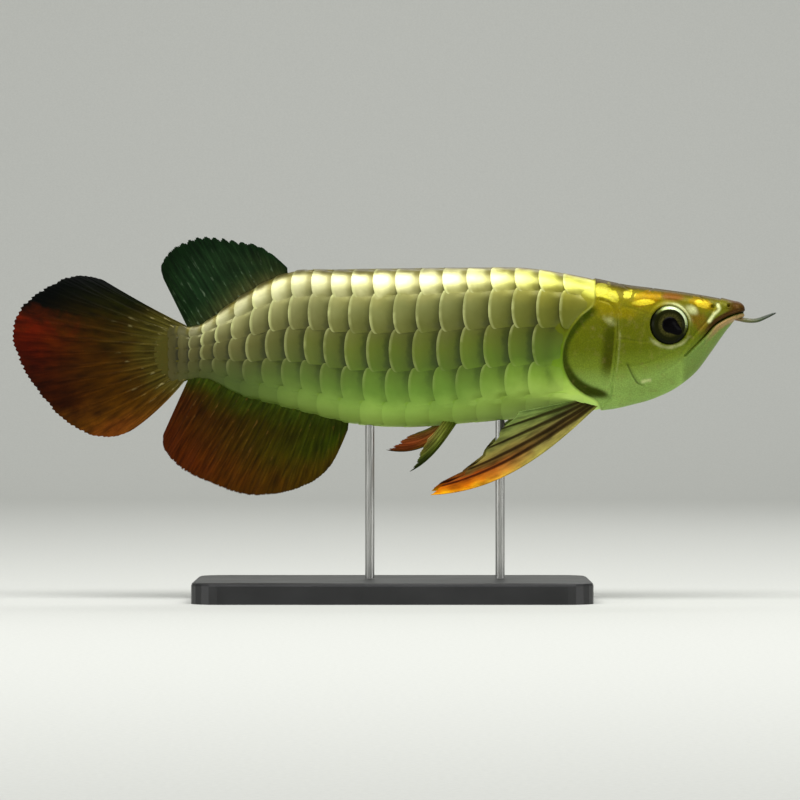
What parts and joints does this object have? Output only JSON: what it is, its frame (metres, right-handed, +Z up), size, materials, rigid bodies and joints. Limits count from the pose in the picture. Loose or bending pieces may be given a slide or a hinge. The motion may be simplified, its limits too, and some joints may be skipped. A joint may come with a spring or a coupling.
{
  "type": "asian arowana model",
  "caption": "Still life-size model of a young Asian arowana with big scales and rounded rear fins, swimming level, held over a flat base by slim rods.",
  "frame": {"origin": "on the floor under the stand, at the middle of the whole part's box", "axes": "+X to the fish's head, +Z up, +Y to the fish's left side"},
  "size_m": [0.2904, 0.076, 0.1382],
  "materials": {
    "head_skin": "smooth glossy skin over bone, golden",
    "jaw_skin": "smooth pale green skin",
    "gill_cover": "smooth glossy olive plate",
    "eye": "polished dark eye",
    "barbel": "soft dark olive feeler",
    "scaled_skin": "glossy olive and gold scales",
    "tail_skin": "glossy grey-olive scales",
    "dorsal_web": "dark green ribbed web",
    "anal_web": "dark red-brown ribbed web",
    "caudal_web": "dark green to red-brown ribbed web",
    "pectoral_web": "olive to orange ribbed web",
    "pelvic_web": "olive to orange-brown ribbed web",
    "stand_paint": "satin black paint",
    "stand_steel": "brushed"
  },
  "bodies": {
    "root": {"head": "head_skin", "lower_jaw": "jaw_skin", "gill_cover_right": "gill_cover", "gill_cover_left": "gill_cover", "eye_right": "eye", "eye_left": "eye", "barbel_right": "barbel", "barbel_left": "barbel", "trunk": "scaled_skin", "tail": "tail_skin", "dorsal_fin": "dorsal_web", "anal_fin": "anal_web", "caudal_fin": "caudal_web", "pectoral_fin_right": "pectoral_web", "pectoral_fin_left": "pectoral_web", "pelvic_fin_right": "pelvic_web", "pelvic_fin_left": "pelvic_web", "stand_base": "stand_paint", "stand_rod_front": "stand_steel", "stand_rod_rear": "stand_steel"}
  },
  "joints": []
}
